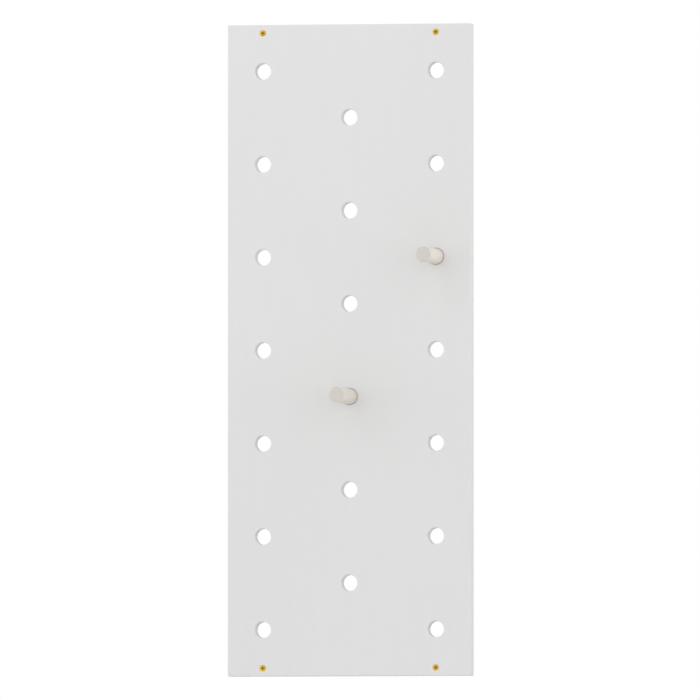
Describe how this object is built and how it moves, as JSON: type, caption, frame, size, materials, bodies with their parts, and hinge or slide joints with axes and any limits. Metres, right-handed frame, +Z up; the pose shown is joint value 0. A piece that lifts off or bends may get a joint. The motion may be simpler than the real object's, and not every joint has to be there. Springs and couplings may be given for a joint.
{
  "type": "peg wall panel",
  "caption": "Tall white wall panel with a staggered grid of round holes and loose wooden pegs that push into them, for displaying or hanging things.",
  "frame": {"origin": "middle of the board's outline, on the wall plane at the battens' back faces", "axes": "+Z up, +X to the viewer's right, -Y out of the wall towards the room, where the board faces"},
  "size_m": [0.38, 0.151, 1],
  "materials": {
    "white_lacquer": "satin white lacquer",
    "batten_softwood": "planed, bare",
    "screw_brass": "bright, slightly aged",
    "peg_wood": "pale, sanded, clear oil"
  },
  "bodies": {
    "panel": {"panel_board": "white_lacquer", "top_batten": "batten_softwood", "bottom_batten": "batten_softwood", "screw_top_left": "screw_brass", "screw_top_right": "screw_brass", "screw_bottom_left": "screw_brass", "screw_bottom_right": "screw_brass"},
    "upper_peg": {"peg_upper": "peg_wood"},
    "lower_peg": {"peg_lower": "peg_wood"}
  },
  "joints": [
    {"name": "upper_peg_slide", "type": "slide", "parent": "panel", "child": "upper_peg", "axis": [0, -1, 0], "range_m": [0, 0.06]},
    {"name": "lower_peg_slide", "type": "slide", "parent": "panel", "child": "lower_peg", "axis": [0, -1, 0], "range_m": [0, 0.06]}
  ]
}
